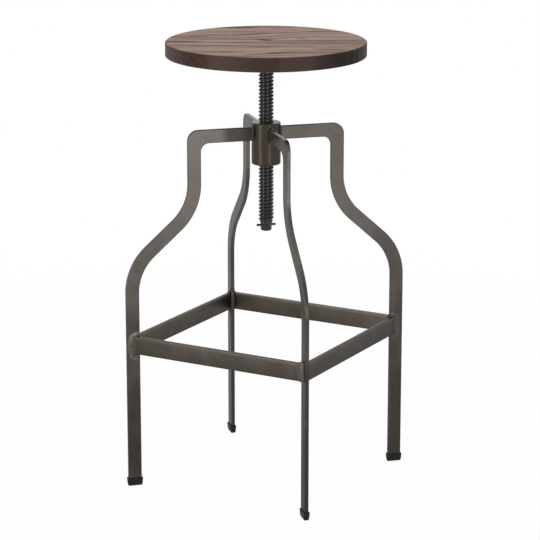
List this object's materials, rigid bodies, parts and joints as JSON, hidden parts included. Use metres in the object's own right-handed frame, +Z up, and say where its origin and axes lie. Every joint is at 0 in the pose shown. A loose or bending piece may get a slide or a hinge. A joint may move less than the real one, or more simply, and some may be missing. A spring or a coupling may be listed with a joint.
{
  "type": "bar stool",
  "caption": "Backless bar stool: round wooden seat on a steel screw that turns in a threaded hub, on flat-bar legs joined by a square footrest.",
  "frame": {"origin": "on the floor, under the middle of the screw", "axes": "+Z up along the screw, +X and +Y square to the footrest's bars, with the legs on the diagonals between them"},
  "size_m": [0.3338, 0.3338, 0.71],
  "materials": {
    "gunmetal_steel": "brushed antique gunmetal under a satin lacquer",
    "hub_steel": "brushed bronze-brown steel under a satin lacquer",
    "black_steel": "blackened, slightly oily",
    "zinc_steel": "zinc plated",
    "black_rubber": "matte moulded rubber",
    "dark_wood": "grey-brown stain, brushed grain, matte"
  },
  "bodies": {
    "frame": {"leg_front_left": "gunmetal_steel", "leg_front_right": "gunmetal_steel", "leg_back_right": "gunmetal_steel", "leg_back_left": "gunmetal_steel", "foot_front_left": "black_rubber", "foot_front_right": "black_rubber", "foot_back_right": "black_rubber", "foot_back_left": "black_rubber", "footrest_front": "gunmetal_steel", "footrest_right": "gunmetal_steel", "footrest_back": "gunmetal_steel", "footrest_left": "gunmetal_steel", "threaded_hub": "hub_steel", "hub_welds": "gunmetal_steel", "footrest_welds": "gunmetal_steel"},
    "collar": {"screw_collar": "black_steel"},
    "seat": {"screw": "black_steel", "stop_pin": "black_steel", "seat_plate": "black_steel", "tenon_weld": "black_steel", "seat_screws": "zinc_steel", "wooden_seat": "dark_wood"}
  },
  "joints": [
    {"name": "seat_lift", "type": "slide", "parent": "frame", "child": "collar", "axis": [0, 0, 1], "range_m": [-0.0847, 0.0967]},
    {"name": "seat_spin", "type": "hinge", "parent": "collar", "child": "seat", "pos_m": [0, 0, 0.67], "axis": [0, 0, 1], "range_deg": [-5292, 6048]}
  ],
  "couplings": [
    {"joint": "seat_lift", "follows": "seat_spin", "m_per_rad": 0.00091514}
  ]
}
